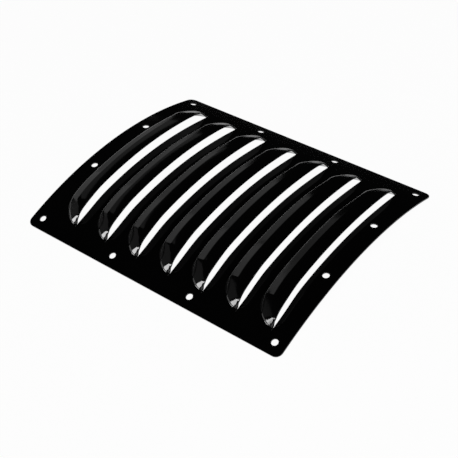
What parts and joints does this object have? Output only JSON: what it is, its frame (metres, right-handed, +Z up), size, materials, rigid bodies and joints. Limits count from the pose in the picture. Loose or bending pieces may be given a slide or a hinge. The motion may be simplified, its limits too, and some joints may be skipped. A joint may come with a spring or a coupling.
{
  "type": "louvred bonnet vent",
  "caption": "Arched sheet-metal bonnet vent with a row of pressed louvres, each open along one side, and fixing holes along its edges.",
  "frame": {"origin": "middle of the rectangle the vent stands on: its two long edges rest at Z = 0", "axes": "+X along the row of louvres, towards the side they open to; +Y along each louvre; +Z up through the crown of the arch"},
  "size_m": [0.26, 0.2166, 0.0296],
  "materials": {
    "coating": "gloss black coating"
  },
  "bodies": {
    "root": {"louvre_panel": "coating"}
  },
  "joints": []
}
